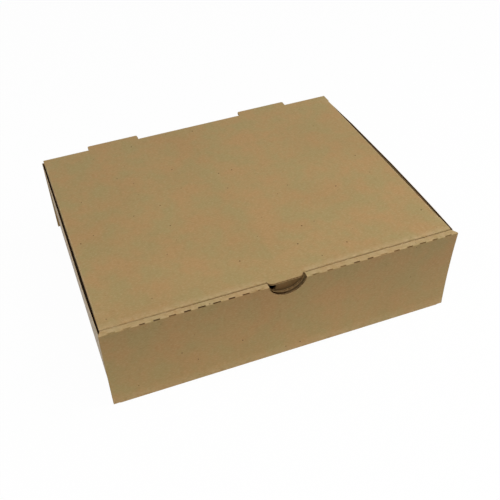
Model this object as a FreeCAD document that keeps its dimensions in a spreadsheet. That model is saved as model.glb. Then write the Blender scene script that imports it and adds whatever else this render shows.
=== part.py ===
"""Corrugated food box: one die-cut kraft sheet folded into a tray with a hinged lid.

Axes: +X to the right along the front wall, +Y to the rear, +Z up. The origin is the
middle of the tray's underside. All sizes are in millimetres.

The sheet is modelled folded, in two bodies that meet at the lid's crease:
  tray  base, double front wall with its roll-over and thumb notch, two side walls with
        their corner flaps, rear wall with two vent windows
  lid   top panel with its lifting lip and two rear tabs, tuck flap and two side ears
"""
import FreeCAD, Part
import math
import os
import Sketcher

document = FreeCAD.newDocument("food_box")
sheet = document.addObject("Spreadsheet::Sheet", "sizes")

driving_sizes = [
    # outside of the closed box, and its board
    ("box_width", 305, "over the raw side edges of the front wall"),
    ("box_depth", 246, "front face to rear face"),
    ("box_height", 83, "underside to the lid's top face"),
    ("board", 1.6, "thickness of the corrugated board"),
    ("ply_gap", 0.15, "play between two plies folded on each other"),
    ("fold_radius", 1.2, "outside of every fold"),
    # side walls
    ("foot_step", 2.0, "side wall's foot, in from the front wall's raw edge"),
    ("side_flare", 1.7, "outward lean of a side wall over its height"),
    ("side_drop", 0.6, "raw top of a side wall below the lid's top face"),
    ("slope_length", 60, "stretch before the rear where a side wall's top slopes down"),
    ("slope_drop", 2.0, "fall of that slope"),
    ("front_flap_length", 62, "corner flap held inside the double front wall"),
    ("rear_flap_length", 42, "corner flap glued to the rear wall"),
    ("flap_taper", 9, "slope cut from each corner of a corner flap"),
    # double front wall
    ("wall_play", 0.4, "inner front panel to the side wall beside it"),
    ("relief_width", 6, "cut-back at each lower corner of the front wall"),
    ("relief_height", 1.1, "height of that cut-back"),
    ("lock_width", 36, "tab that locks the inner front panel into the base"),
    ("lock_spread", 140, "between the middles of the two lock tabs"),
    ("lock_play", 0.3, "slot around a lock tab"),
    ("notch_radius", 16, "thumb notch"),
    ("notch_rise", 1.7, "centre of the notch above the roll-over"),
    ("slit_length", 5.4, "perforation cut along a crease of the roll-over"),
    ("slit_pitch", 11.85, "from one perforation cut to the next"),
    ("slit_width", 0.5, "opening of a perforation cut"),
    ("slit_depth", 1.1, "depth of a perforation cut"),
    ("slit_inset", 0.25, "panel's face to the near side of a cut"),
    ("slit_margin", 7, "least distance from the last cut's middle to the raw edge"),
    # lid
    ("lid_front_play", 0.2, "lid to the inner front panel"),
    ("lid_side_play", 0.9, "lid's folded edge to the top of a side wall"),
    ("raw_step", 0.4, "lid's raw corners, in from its side folds"),
    ("hinge_gap", 0.1, "score between lid and rear wall"),
    ("hinge_round", 0.5, "each side of the score at the lid's crease"),
    ("lip_length", 3.3, "lifting lip in front of the lid's crease"),
    ("lip_play", 0.7, "lip to the notch beside it"),
    ("lip_round", 2.8, "corners of the lifting lip"),
    ("tuck_depth", 38, "tuck flap below the lid's top face"),
    ("tuck_lean", 4.2, "inward lean of the tuck flap over its depth"),
    ("tuck_inset", 1.5, "end of the tuck flap, in from the lid's side"),
    ("tuck_corner", 14, "lower corners of the tuck flap"),
    ("ear_depth", 30, "side ear below the lid's top face"),
    ("ear_lean", 2.4, "inward lean of an ear over its depth"),
    ("ear_front", 18, "ear's front end behind the lid's front"),
    ("ear_rear", 12, "ear's rear end before the rear face"),
    ("ear_corner", 12, "lower corners of an ear"),
    # rear tabs and the windows that they leave in the rear wall
    ("tab_width", 50.5, "tab behind the lid's crease"),
    ("tab_spread", 158.4, "between the middles of the two tabs"),
    ("tab_length", 6.2, "tab behind the rear face"),
    ("tab_round", 1.5, "free corners of a tab"),
    ("tab_play", 0.3, "window wider than its tab, each side"),
    ("window_drop", 0.5, "window deeper than its tab is long"),
]

for row, (alias, number, note) in enumerate(driving_sizes, 1):
    sheet.set(f"A{row}", note)
    sheet.set(f"B{row}", str(number))
    sheet.setAlias(f"B{row}", alias)
document.recompute()

# Places shared by several panels, as expressions on the sheet.
half_width = "sizes.box_width / 2"
front = "-sizes.box_depth / 2"
rear = "sizes.box_depth / 2"
top = "sizes.box_height"
under_lid = "sizes.box_height - sizes.board"
above_base = "sizes.board + sizes.ply_gap"
ply_step = "(sizes.board + sizes.ply_gap)"
inner_panel_front = f"{front} + 2 * {ply_step}"
front_wall_back = f"{inner_panel_front} + sizes.board"
half_foot = f"{half_width} - sizes.foot_step"
half_side_top = f"{half_foot} + sizes.side_flare"
side_top = "sizes.box_height - sizes.side_drop"
under_strip = f"{under_lid} - sizes.ply_gap"
half_relief = f"{half_width} - sizes.relief_width"
half_inner_foot = f"{half_foot} - sizes.board - sizes.wall_play"
half_inner_top = f"{half_side_top} - sizes.board - sizes.wall_play"
lid_front = f"{front_wall_back} + sizes.lid_front_play"
half_lid = f"{half_side_top} - sizes.board - sizes.lid_side_play"
notch_middle = "sizes.box_height + sizes.notch_rise"
half_lip = "sqrt(sizes.notch_radius ^ 2 - sizes.notch_rise ^ 2) - sizes.lip_play"
half_tuck = f"{half_lid} - sizes.tuck_inset"
ear_front = f"{lid_front} + sizes.ear_front"
ear_rear = f"{rear} - sizes.ear_rear"

# Sketch planes: the role of the body's origin plane, and which way its normal points
# along the world axis that it crosses.
horizontal = ("XY_Plane", 1)
facing_front = ("XZ_Plane", -1)
facing_side = ("YZ_Plane", 1)


def minus(expression):
    return f"-({expression})"


def origin_plane(body, role):
    return next(plane for plane in body.Origin.OriginFeatures if plane.Role == role)


def new_sketch(body, name, plane, level="0"):
    """A sketch on an origin plane, moved along the world axis to the given level."""
    role, normal = plane
    sketch = body.newObject("Sketcher::SketchObject", name)
    sketch.AttachmentSupport = (origin_plane(body, role), [""])
    sketch.MapMode = "FlatFace"
    offset = level if normal > 0 else minus(level)
    sketch.setExpression("AttachmentOffset.Base.z", offset)
    return sketch


def point_at(sketch, point):
    return FreeCAD.Vector(*(float(sketch.evalExpression(part)) for part in point), 0)


def bind_new(sketch, constraint, name, expression):
    """Add a constraint whose size is held by an expression on the sheet."""
    index = sketch.addConstraint(constraint)
    sketch.renameConstraint(index, name)
    sketch.setExpression(f"Constraints.{name}", expression)


def place_point(sketch, geometry, vertex, point):
    """Hold one point of a sketch at its two expressions, measured from the origin."""
    place = point_at(sketch, point)
    name = f"point{geometry}_{vertex}"
    for axis, expression in zip("xy", point):
        constraint = Sketcher.Constraint(
            f"Distance{axis.upper()}", -1, 1, geometry, vertex, getattr(place, axis))
        bind_new(sketch, constraint, f"{name}_{axis}", expression)


def join(sketch, *ends):
    sketch.addConstraint(Sketcher.Constraint("Coincident", *ends))


def add_outline(sketch, corners):
    """A closed outline of straight lines through the given corners."""
    places = [point_at(sketch, corner) for corner in corners]
    lines = [sketch.addGeometry(Part.LineSegment(start, end))
             for start, end in zip(places, places[1:] + places[:1])]
    for number, line in enumerate(lines):
        join(sketch, lines[number - 1], 2, line, 1)
        place_point(sketch, line, 1, corners[number])


def add_circle(sketch, middle, radius):
    size = float(sketch.evalExpression(radius))
    circle = sketch.addGeometry(
        Part.Circle(point_at(sketch, middle), FreeCAD.Vector(0, 0, 1), size))
    bind_new(sketch, Sketcher.Constraint("Radius", circle, size), "radius", radius)
    place_point(sketch, circle, 3, middle)


def add_lower_corner(sketch, corner, inside, radius):
    """Waste outside a rounded lower corner: two straight edges closed by the round.

    The panel lies above the corner, to its left where inside is "-", right where "+".
    """
    across, up = corner
    level_end, upright_end = (f"{across} {inside} {radius}", up), (across, f"{up} + {radius}")
    foot, tip, side = (point_at(sketch, point) for point in (level_end, corner, upright_end))
    bottom = sketch.addGeometry(Part.LineSegment(foot, tip))
    edge = sketch.addGeometry(Part.LineSegment(tip, side))
    middle, size = FreeCAD.Vector(foot.x, side.y, 0), side.y - tip.y
    circle = Part.Circle(middle, FreeCAD.Vector(0, 0, 1), size)
    start = 1.5 * math.pi if inside == "-" else math.pi
    arc = sketch.addGeometry(Part.ArcOfCircle(circle, start, start + math.pi / 2))
    at_foot, at_side = (1, 2) if inside == "-" else (2, 1)
    join(sketch, bottom, 2, edge, 1)
    join(sketch, edge, 2, arc, at_side)
    join(sketch, bottom, 1, arc, at_foot)
    bind_new(sketch, Sketcher.Constraint("Radius", arc, size), f"radius{arc}", radius)
    place_point(sketch, bottom, 1, level_end)
    place_point(sketch, edge, 1, corner)
    place_point(sketch, edge, 2, upright_end)


def rectangle(left, right, low, high):
    return [(left, low), (right, low), (right, high), (left, high)]


def mirrored_outline(right_side):
    """Outline symmetric about the sketch's vertical axis, from its right-hand corners."""
    return right_side + [(minus(across), up) for across, up in reversed(right_side)]


def extrude(body, name, plane, level, outlines, length):
    """Pad outlines from their level towards +X, +Y or +Z."""
    sketch = new_sketch(body, f"{name}_outline", plane, level)
    for corners in outlines:
        add_outline(sketch, corners)
    pad = body.newObject("PartDesign::Pad", name)
    pad.Profile = sketch
    pad.setExpression("Length", length)
    pad.Reversed = plane[1] < 0
    return pad


def extrude_across(body, name, outline, width):
    """Pad a front-to-rear section to both sides of the middle."""
    sketch = new_sketch(body, f"{name}_section", facing_side)
    add_outline(sketch, outline)
    pad = body.newObject("PartDesign::Pad", name)
    pad.Profile = sketch
    pad.SideType = "Symmetric"
    pad.setExpression("Length", width)
    return pad


def cut(body, name, sketch, length, towards_normal=False):
    """Pocket that must take material away."""
    document.recompute()
    volume_before = body.Shape.Volume
    pocket = body.newObject("PartDesign::Pocket", name)
    pocket.Profile = sketch
    pocket.setExpression("Length", length)
    pocket.Reversed = towards_normal
    document.recompute()
    assert body.Shape.Volume < volume_before, f"{name} cuts nothing"
    return pocket


def mirror_sideways(body, name, features):
    mirror = body.newObject("PartDesign::Mirrored", name)
    mirror.Originals = features
    mirror.MirrorPlane = (origin_plane(body, "YZ_Plane"), [""])
    body.Tip = mirror
    return mirror


def straight_edges(body, along, **places):
    """Names of the straight edges along an axis whose middles lie at the given places.

    An x place is taken on both sides of the middle, because the box is symmetric.
    """
    tolerance = 0.02
    direction = FreeCAD.Vector(*(float(axis == along) for axis in "xyz"))
    targets = {axis: float(body.evalExpression(place)) for axis, place in places.items()}
    names = []
    for number, edge in enumerate(body.Shape.Edges, 1):
        if not isinstance(edge.Curve, Part.Line):
            continue
        start, end = (vertex.Point for vertex in edge.Vertexes)
        middle = (start + end) / 2
        found = FreeCAD.Vector(abs(middle.x), middle.y, middle.z)
        slope = abs((end - start).normalize() * direction)
        near = all(abs(getattr(found, axis) - target) < tolerance
                   for axis, target in targets.items())
        if slope > 0.98 and near:
            names.append(f"Edge{number}")
    return names


def round_edges(body, name, radius, *searches):
    """Fillet every edge that the searches find; each search names an axis and places."""
    document.recompute()
    edges = [edge for along, places in searches for edge in straight_edges(body, along, **places)]
    assert edges, f"{name} finds no edge"
    base = body.Tip
    fillet = body.newObject("PartDesign::Fillet", name)
    fillet.Base = (base, edges)
    fillet.setExpression("Radius", radius)
    return fillet


def beside_middle(spread, half):
    """Left and right ends of two equal stretches, a spread apart about the middle."""
    return [(f"{side}{spread} / 2 - {half}", f"{side}{spread} / 2 + {half}")
            for side in ("", "-")]


def add_base_and_sides(tray):
    """Base and both leaning side walls: one channel, folded at the foot of each wall."""
    extrude(tray, "base_and_sides", facing_front, f"{front} + {ply_step}",
            [mirrored_outline([
                (half_foot, "0"), (half_side_top, side_top),
                (f"{half_side_top} - sizes.board", side_top),
                (f"{half_foot} - sizes.board", "sizes.board")])],
            f"sizes.box_depth - 2 * {ply_step}")
    round_edges(tray, "side_folds", "sizes.fold_radius", ("y", {"x": half_foot, "z": "0"}))
    trim_side_tops(tray)
    half_base = f"{half_foot} - sizes.fold_radius"
    extrude(tray, "base_panel", horizontal, "0",
            [mirrored_outline([
                (half_relief, front), (half_relief, f"{front} + {ply_step}"),
                (half_base, f"{front} + {ply_step}"), (half_base, rear)])],
            "sizes.board")


def trim_side_tops(tray):
    """Shoulder under the roll-over at the front of each side wall, and a slope at the rear."""
    sketch = new_sketch(tray, "side_tops_outline", facing_side, half_width)
    add_outline(sketch, rectangle(front, f"{front_wall_back} + sizes.wall_play",
                                  under_strip, top))
    add_outline(sketch, [(f"{rear} - sizes.slope_length", side_top),
                         (rear, f"{side_top} - sizes.slope_drop"), (rear, top),
                         (f"{rear} - sizes.slope_length", top)])
    cut(tray, "side_tops", sketch, "sizes.box_width")


def add_front_wall(tray):
    """Outer panel, roll-over strip and inner panel: the double wall of the front."""
    extrude(tray, "outer_front_panel", facing_front, front,
            [mirrored_outline([
                (half_relief, "0"), (half_relief, "sizes.relief_height"),
                (half_width, "sizes.relief_height"), (half_width, top)])],
            "sizes.board")
    extrude(tray, "roll_over_strip", horizontal, under_lid,
            [mirrored_outline([(half_width, front), (half_inner_top, front_wall_back)])],
            "sizes.board")
    extrude(tray, "inner_front_panel", facing_front, inner_panel_front,
            [mirrored_outline([(half_inner_foot, above_base), (half_inner_top, top)])],
            "sizes.board")


def add_rear_wall(tray):
    """Rear wall up to the lid's crease, where its top is mitred."""
    crease = f"{top} - sizes.hinge_gap"
    extrude_across(
        tray, "rear_wall",
        [(f"{rear} - sizes.board", "0"), (rear, "0"), (rear, crease),
         (f"{rear} - sizes.board", f"{crease} - sizes.board")], "sizes.box_width")


def round_tray_folds(tray):
    """Folds at the front and rear feet, along the roll-over and at the lid's crease."""
    round_edges(
        tray, "folds", "sizes.fold_radius",
        ("x", {"y": front, "z": "0"}), ("x", {"y": rear, "z": "0"}),
        ("x", {"y": front, "z": top}), ("x", {"y": front_wall_back, "z": top}))
    round_edges(tray, "hinge_fold", "sizes.hinge_round",
                ("x", {"y": rear, "z": f"{top} - sizes.hinge_gap"}))


def corner_flap(tray, name, length, level, flap_top):
    """Flap turned in from the end of a side wall, tapered towards its free end."""
    free_end = f"{half_foot} - {length}"
    taper = "sizes.flap_taper"
    return extrude(
        tray, name, facing_front, level,
        [[(f"{half_foot} - sizes.board / 2", above_base),
          (f"{half_side_top} - sizes.board / 2", flap_top),
          (f"{free_end} + {taper}", flap_top), (free_end, f"{flap_top} - {taper}"),
          (free_end, f"{above_base} + {taper}"), (f"{free_end} + {taper}", above_base)]],
        "sizes.board")


def add_corner_flaps(tray):
    """Front flap held in the double wall and rear flap glued to the rear wall."""
    flaps = [
        corner_flap(tray, "front_corner_flap", "sizes.front_flap_length",
                    f"{front} + {ply_step}", under_strip),
        corner_flap(tray, "rear_corner_flap", "sizes.rear_flap_length",
                    f"{rear} - {ply_step} - sizes.board", f"{side_top} - sizes.slope_drop"),
    ]
    document.recompute()
    mirror_sideways(tray, "left_corner_flaps", flaps)


def add_locks(tray):
    """Slots in the base and the inner front panel's tabs that lock into them."""
    slots = new_sketch(tray, "lock_slots_outline", horizontal)
    for left, right in beside_middle("sizes.lock_spread",
                                     "(sizes.lock_width / 2 + sizes.lock_play)"):
        add_outline(slots, rectangle(left, right, f"{inner_panel_front} - sizes.lock_play",
                                     f"{front_wall_back} + sizes.lock_play"))
    cut(tray, "lock_slots", slots, "sizes.board", towards_normal=True)
    extrude(tray, "lock_tabs", facing_front, inner_panel_front,
            [rectangle(left, right, "sizes.ply_gap", f"{above_base} + sizes.board")
             for left, right in beside_middle("sizes.lock_spread", "sizes.lock_width / 2")],
            "sizes.board")


def cut_perforation(tray, name, near_side):
    """Row of short cuts along one crease of the roll-over."""
    steps = f"floor(({half_width} - sizes.slit_margin) / sizes.slit_pitch)"
    first = f"-{steps} * sizes.slit_pitch"
    sketch = new_sketch(tray, f"{name}_outline", horizontal, top)
    add_outline(sketch, rectangle(
        f"{first} - sizes.slit_length / 2", f"{first} + sizes.slit_length / 2",
        near_side, f"{near_side} + sizes.slit_width"))
    slit = cut(tray, f"{name}_cut", sketch, "sizes.slit_depth")
    pattern = tray.newObject("PartDesign::LinearPattern", name)
    pattern.Originals = [slit]
    pattern.Direction = (sketch, ["H_Axis"])
    pattern.setExpression("Length", f"2 * {steps} * sizes.slit_pitch")
    pattern.setExpression("Occurrences", f"2 * {steps} + 1")
    tray.Tip = pattern


def cut_thumb_notch(tray):
    """Round notch through both plies of the front wall and the roll-over."""
    sketch = new_sketch(tray, "thumb_notch_outline", facing_front, front)
    add_circle(sketch, ("0", notch_middle), "sizes.notch_radius")
    cut(tray, "thumb_notch", sketch, f"2 * {ply_step} + sizes.board")


def cut_windows(tray):
    """Vent windows that the two tabs leave in the top of the rear wall."""
    sketch = new_sketch(tray, "vent_windows_outline", facing_front, f"{rear} - sizes.board")
    sill = f"{top} - sizes.tab_length - sizes.window_drop"
    for left, right in beside_middle("sizes.tab_spread",
                                     "(sizes.tab_width / 2 + sizes.tab_play)"):
        add_outline(sketch, rectangle(left, right, sill, top))
    cut(tray, "vent_windows", sketch, "sizes.board")


def make_tray():
    tray = document.addObject("PartDesign::Body", "tray")
    add_base_and_sides(tray)
    add_front_wall(tray)
    add_rear_wall(tray)
    round_tray_folds(tray)
    add_corner_flaps(tray)
    add_locks(tray)
    cut_perforation(tray, "outer_perforation", f"{front} + sizes.slit_inset")
    cut_perforation(tray, "inner_perforation",
                    f"{front_wall_back} - sizes.slit_inset - sizes.slit_width")
    cut_thumb_notch(tray)
    cut_windows(tray)
    return tray


def add_top_and_ears(lid):
    """Panel and both leaning side ears: one channel, folded along the top of each ear."""
    lower_edge = f"{top} - sizes.ear_depth"
    half_lower = f"{half_lid} - sizes.ear_lean"
    extrude(lid, "top_and_ears", facing_front, ear_front,
            [mirrored_outline([
                (half_lid, top), (half_lower, lower_edge),
                (f"{half_lower} - sizes.board", lower_edge),
                (f"{half_lid} - sizes.board", under_lid)])],
            f"{ear_rear} - ({ear_front})")
    round_edges(lid, "side_folds", "sizes.fold_radius", ("y", {"x": half_lid, "z": top}))
    sketch = new_sketch(lid, "ear_corners_outline", facing_side, half_lid)
    add_lower_corner(sketch, (ear_front, lower_edge), "+", "sizes.ear_corner")
    add_lower_corner(sketch, (ear_rear, lower_edge), "-", "sizes.ear_corner")
    cut(lid, "ear_corners", sketch, f"2 * ({half_lid})")


def add_top_panel(lid):
    """Whole panel between the folds, rounded along the front, mitred at the crease."""
    mitre = f"{rear} - sizes.board"
    half_raw = f"{half_lid} - sizes.raw_step"
    half_folded = f"{half_lid} - sizes.fold_radius"
    extrude(lid, "top_panel", horizontal, under_lid,
            [mirrored_outline([
                (half_raw, lid_front), (half_raw, ear_front), (half_folded, ear_front),
                (half_folded, ear_rear), (half_raw, ear_rear), (half_raw, mitre)])],
            "sizes.board")
    extrude_across(lid, "crease", [(mitre, under_lid), (rear, top), (mitre, top)],
                   f"2 * ({half_raw})")
    round_edges(lid, "hinge_fold", "sizes.hinge_round", ("x", {"y": rear, "z": top}))
    round_edges(lid, "front_fold", "sizes.fold_radius", ("x", {"y": lid_front, "z": top}))


def add_lip(lid):
    """Lifting lip that stays level with the panel, in front of the fold."""
    tip = f"{lid_front} - sizes.lip_length"
    extrude(lid, "lifting_lip", horizontal, under_lid,
            [rectangle(minus(half_lip), half_lip, tip, f"{lid_front} + sizes.board")],
            "sizes.board")
    round_edges(lid, "lip_corners", "sizes.lip_round", ("z", {"x": half_lip, "y": tip}))


def add_rear_tabs(lid):
    """Two tabs that stay level with the panel, behind the crease."""
    tip = f"{rear} + sizes.tab_length"
    ends = beside_middle("sizes.tab_spread", "sizes.tab_width / 2")
    extrude(lid, "rear_tabs", horizontal, under_lid,
            [rectangle(left, right, f"{rear} - sizes.board", tip) for left, right in ends],
            "sizes.board")
    round_edges(lid, "tab_corners", "sizes.tab_round",
                *(("z", {"x": end, "y": tip}) for end in ends[0]))


def add_tuck_flap(lid):
    """Front flap tucked behind the double wall, with the hole its lip was cut from."""
    lower_edge = f"{top} - sizes.tuck_depth"
    extrude_across(
        lid, "tuck_flap",
        [(lid_front, under_lid), (f"{lid_front} + sizes.tuck_lean", lower_edge),
         (f"{lid_front} + sizes.tuck_lean + sizes.board", lower_edge),
         (f"{lid_front} + sizes.board", under_lid)], f"2 * ({half_tuck})")
    corners = new_sketch(lid, "tuck_corners_outline", facing_front, lid_front)
    add_lower_corner(corners, (half_tuck, lower_edge), "-", "sizes.tuck_corner")
    add_lower_corner(corners, (minus(half_tuck), lower_edge), "+", "sizes.tuck_corner")
    cut(lid, "tuck_corners", corners, "sizes.board + sizes.tuck_lean")
    hole = new_sketch(lid, "lip_hole_outline", facing_front, lid_front)
    add_outline(hole, rectangle(minus(half_lip), half_lip,
                                f"{top} - sizes.lip_length", under_lid))
    cut(lid, "lip_hole", hole, "sizes.board + sizes.tuck_lean")


def make_lid():
    lid = document.addObject("PartDesign::Body", "lid")
    add_top_and_ears(lid)
    add_top_panel(lid)
    add_lip(lid)
    add_rear_tabs(lid)
    add_tuck_flap(lid)
    return lid


def check_and_export(bodies):
    """Stop on any failed feature or body, then write one STEP file per body."""
    document.recompute()
    for item in document.Objects:
        failed = {"Invalid", "Error"} & set(item.State)
        assert not failed, f"{item.Name} is {item.State}"
    os.makedirs("parts", exist_ok=True)
    for body in bodies:
        shape = body.Shape
        assert not shape.isNull() and shape.isValid(), f"{body.Label} has no valid shape"
        assert len(shape.Solids) == 1, f"{body.Label} has {len(shape.Solids)} solids"
        shape.exportStep(os.path.join("parts", f"{body.Label}.step"))
        print(body.Label, "volume", round(shape.Volume), "box", shape.BoundBox)


check_and_export([make_tray(), make_lid()])
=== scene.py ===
# A closed food box of plain kraft board: one sheet folded into the tray and its lid.
# Shapes are worked out in millimetres and put into the meshes in metres.
import bmesh
import bpy
import numpy as np
from mathutils import Matrix, Vector


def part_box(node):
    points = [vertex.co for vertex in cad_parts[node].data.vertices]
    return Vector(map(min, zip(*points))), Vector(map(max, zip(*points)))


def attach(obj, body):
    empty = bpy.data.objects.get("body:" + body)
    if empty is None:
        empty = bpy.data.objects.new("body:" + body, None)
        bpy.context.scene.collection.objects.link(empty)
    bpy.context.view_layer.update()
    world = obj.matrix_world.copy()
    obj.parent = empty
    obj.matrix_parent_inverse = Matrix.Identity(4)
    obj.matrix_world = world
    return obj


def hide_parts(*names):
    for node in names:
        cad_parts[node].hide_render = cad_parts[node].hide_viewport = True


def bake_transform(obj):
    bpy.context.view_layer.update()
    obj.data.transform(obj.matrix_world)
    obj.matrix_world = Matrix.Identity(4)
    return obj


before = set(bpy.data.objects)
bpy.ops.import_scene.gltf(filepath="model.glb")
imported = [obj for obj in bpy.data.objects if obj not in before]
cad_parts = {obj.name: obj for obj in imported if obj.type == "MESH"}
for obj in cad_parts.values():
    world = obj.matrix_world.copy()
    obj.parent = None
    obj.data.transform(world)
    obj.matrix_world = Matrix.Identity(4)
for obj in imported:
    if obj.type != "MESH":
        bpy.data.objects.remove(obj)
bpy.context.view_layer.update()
millimetre = 0.001
touch = 0.001                # places in a flat sheet that lie nearer than this are the same


# A corner of the frame in millimetres: the corner in metres over the length of a millimetre.
def inMillimetres(corner):
    return np.array(corner, float) / millimetre


trayLow, trayHigh = (inMillimetres(corner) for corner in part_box("tray"))
lidHigh = inMillimetres(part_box("lid")[1])
frontFace, rearFace, topFace = trayLow[1], trayHigh[1], trayHigh[2]
halfWidth = trayHigh[0]
print("frame", trayLow, trayHigh, lidHigh)

board = {
    "thickness": 1.6,        # corrugated board
    "gap": 0.15,             # between two plies folded on each other
    "foldRadius": 1.2,       # outside of a fold
    "crushRadius": 0.2,      # inside of a fold
    "liner": 0.25,           # facing paper
    "medium": 0.17,          # fluted paper
    "pitch": 3.2,            # from one flute to the next
    "groove": 2.2,           # how far the open flutes are followed in from a raw edge
    "depths": (0.03, 0.25, 0.5, 0.75, 1.0),     # of the ribbon's points, as shares of that
    "sampling": 0.45,        # along a raw edge that crosses the flutes
    "straight": 12.0,        # along one that follows them
    "cell": 9.0,             # longest step of a sheet's grid
    "crowding": 0.35,        # share of a step within which only the kept places stay
    "sharpAngle": 38.0,      # degrees between faces that meet in a sharp edge
}
linerShare = board["liner"] / board["thickness"]
plyStep = board["thickness"] + board["gap"]


# Vectors over their own length.
def unit(vectors):
    return vectors / np.linalg.norm(vectors, axis=-1, keepdims=True)


# Positions from start to end at most a step apart, with the given ones kept exactly and the
# even ones left out that come nearer to them than a share of the step.
def spread(start, end, kept=(), step=board["cell"]):
    kept = np.concatenate([np.ravel(item) for item in (start, end, *kept)])
    kept = np.unique(np.round(kept[(kept > start - touch) & (kept < end + touch)], 4))
    even = np.linspace(start, end, max(int(np.ceil((end - start) / step)), 1) + 1)
    clear = np.abs(even[:, None] - kept[None, :]).min(1) > board["crowding"] * step
    return np.unique(np.concatenate([kept, even[clear]]))


# A folded section: straight runs through the given outer corners, each corner turned by an
# arc whose middle lies one radius inside both of its runs. The inner line runs one board
# inside, with its own smaller arc. Distances are measured along the outer line.
def foldedSection(corners, arcSteps=10):
    corners = np.array(corners, float)
    ahead = unit(np.diff(corners, axis=0))
    outward = np.stack([-ahead[:, 1], ahead[:, 0]], axis=1)
    thickness = board["thickness"]
    outer, inner, arcs = [corners[0]], [corners[0] - thickness * outward[0]], []
    for corner, forward, before, after in zip(corners[1:-1], ahead, outward, outward[1:]):
        cosine = before @ after
        turn = np.arccos(np.clip(cosine, -1, 1))
        angles = np.linspace(0, turn, arcSteps + 1)[:, None]
        rays = before * np.cos(angles) + forward * np.sin(angles)
        innerCorner = corner - thickness * (before + after) / (1 + cosine)
        arcs.append((len(outer), len(outer) + arcSteps))
        for line, bend, radius in ((outer, corner, board["foldRadius"]),
                                   (inner, innerCorner, board["crushRadius"])):
            middle = bend - forward * radius * np.tan(turn / 2) - before * radius
            line.extend(middle + radius * rays)
    outer = np.array([*outer, corners[-1]])
    inner = np.array([*inner, corners[-1] - thickness * outward[-1]])
    along = np.concatenate([[0.0], np.cumsum(np.linalg.norm(np.diff(outer, axis=0), axis=1))])
    return {"along": along, "outer": outer, "inner": inner, "end": along[-1],
            "arcs": [(along[first], along[last]) for first, last in arcs],
            "steps": [along[first:last + 1] for first, last in arcs]}


# The surface of a folded sheet: the section's point at a distance along it, moved inwards by
# a share of the thickness, and carried across by the second flat coordinate. The axes say
# which of x, y and z the section's two coordinates and the carried one are; lean adds
# lean * height to x, and mirrored swaps left and right.
def sheetSurface(section, axes, lean=0.0, mirrored=False, dent=None):
    def surface(flat, share):
        along, across = flat[..., 0], flat[..., 1]
        if dent is not None:
            share = np.maximum(share, dent(along, across))
        place = np.empty(along.shape + (3,))
        for column in range(2):
            outside = np.interp(along, section["along"], section["outer"][:, column])
            inside = np.interp(along, section["along"], section["inner"][:, column])
            place[..., "xyz".index(axes[column])] = outside + (inside - outside) * share
        place[..., "xyz".index(axes[2])] = across
        place[..., 0] += lean * place[..., 2]
        if mirrored:
            place[..., 0] *= -1
        return place
    return surface


# A flat sheet: the cells of a grid of rows and columns whose middles pass keep, their corners
# then moved by the warp, which rounds corners and curves limits.
def flatSheet(rows, columns, keep=None, warp=None):
    along, across = np.meshgrid(rows, columns, indexing="ij")
    index = np.arange(along.size).reshape(along.shape)
    quads = np.stack([index[:-1, :-1], index[1:, :-1], index[1:, 1:], index[:-1, 1:]], axis=-1)
    if keep is None:
        quads = quads.reshape(-1, 4)
    else:
        middles = np.meshgrid((rows[1:] + rows[:-1]) / 2, (columns[1:] + columns[:-1]) / 2,
                              indexing="ij")
        quads = quads[keep(*middles)]
    used, quads = np.unique(quads, return_inverse=True)
    plain = np.stack([along.ravel(), across.ravel()], axis=1)[used]
    points = plain if warp is None else np.stack(warp(*plain.T), axis=1)
    return plain, points, quads.reshape(-1, 4)


# The raw edges of a flat sheet: sides of cells with no neighbour, apart from the joints. At
# each corner the mitre into the board is the sum n of its sides' inward directions, times
# 2 / n^2 where two sides meet, with n^2 held above a half for very sharp corners.
def rawEdges(sheet, joint):
    plain, points, quads = sheet
    size = len(points)
    edges = np.concatenate([quads[:, [side, (side + 1) % 4]] for side in range(4)])
    shared = np.isin(edges[:, 0] * size + edges[:, 1], edges[:, 1] * size + edges[:, 0])
    border = edges[~shared]
    if joint is not None:
        border = border[~joint(*plain[border].mean(1).T)]
    ahead = unit(points[border[:, 1]] - points[border[:, 0]])
    inward = np.stack([-ahead[:, 1], ahead[:, 0]], axis=1)
    total, count = np.zeros((size, 2)), np.zeros(size)
    np.add.at(total, border.ravel(), np.repeat(inward, 2, axis=0))
    np.add.at(count, border.ravel(), 1)
    squared = np.maximum((total ** 2).sum(1), 0.5)
    return border, total * np.where(count == 2, 2 / squared, 1)[:, None]


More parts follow.
